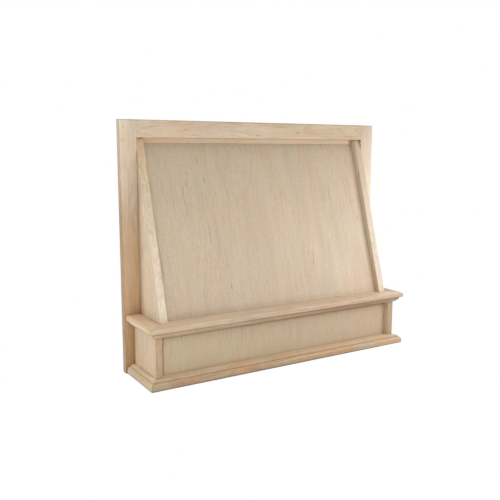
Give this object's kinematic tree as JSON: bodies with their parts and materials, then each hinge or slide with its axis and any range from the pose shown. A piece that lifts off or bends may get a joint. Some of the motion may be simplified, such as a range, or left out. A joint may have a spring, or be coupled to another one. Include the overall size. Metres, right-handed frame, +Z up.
{
  "type": "range hood cover",
  "caption": "Unfinished maple range hood front: face frame, sloping recessed panel between wedge sides, apron box with mitred cap and base mouldings, open behind and below for a ventilator.",
  "frame": {"origin": "middle of the bounding box, on the plane that the foot of the frame and the base moulding stands on", "axes": "+Z up; the front faces -Y; +X is right when facing the front"},
  "size_m": [0.762, 0.1894, 0.607],
  "materials": {
    "solid_maple": "raw, sanded",
    "maple_plywood": "raw veneer, sanded",
    "maple_cleat": "raw, planed",
    "inner_softwood": "raw, planed",
    "dowel_birch": "raw",
    "screw_zinc": "zinc plated",
    "brad_steel": "plain"
  },
  "bodies": {
    "root": {"frame_left_stile": "solid_maple", "frame_right_stile": "solid_maple", "frame_top_rail": "solid_maple", "left_slope_side": "solid_maple", "right_slope_side": "solid_maple", "left_apron_side": "solid_maple", "right_apron_side": "solid_maple", "cap_front": "solid_maple", "cap_left": "solid_maple", "cap_right": "solid_maple", "base_front": "solid_maple", "base_left": "solid_maple", "base_right": "solid_maple", "slope_panel": "maple_plywood", "apron_front_panel": "maple_plywood", "top_cleat": "maple_cleat", "foot_rail": "inner_softwood", "left_panel_nailer": "inner_softwood", "right_panel_nailer": "inner_softwood", "panel_centre_rib": "inner_softwood", "front_liner_ledge": "inner_softwood", "left_liner_ledge": "inner_softwood", "right_liner_ledge": "inner_softwood", "left_glue_block": "inner_softwood", "right_glue_block": "inner_softwood", "frame_dowels": "dowel_birch", "top_cleat_screws": "screw_zinc", "frame_side_screws": "screw_zinc", "apron_side_screws": "screw_zinc", "rail_end_screws": "screw_zinc", "ledge_screws": "screw_zinc", "cap_brads": "brad_steel", "base_brads": "brad_steel"}
  },
  "joints": []
}
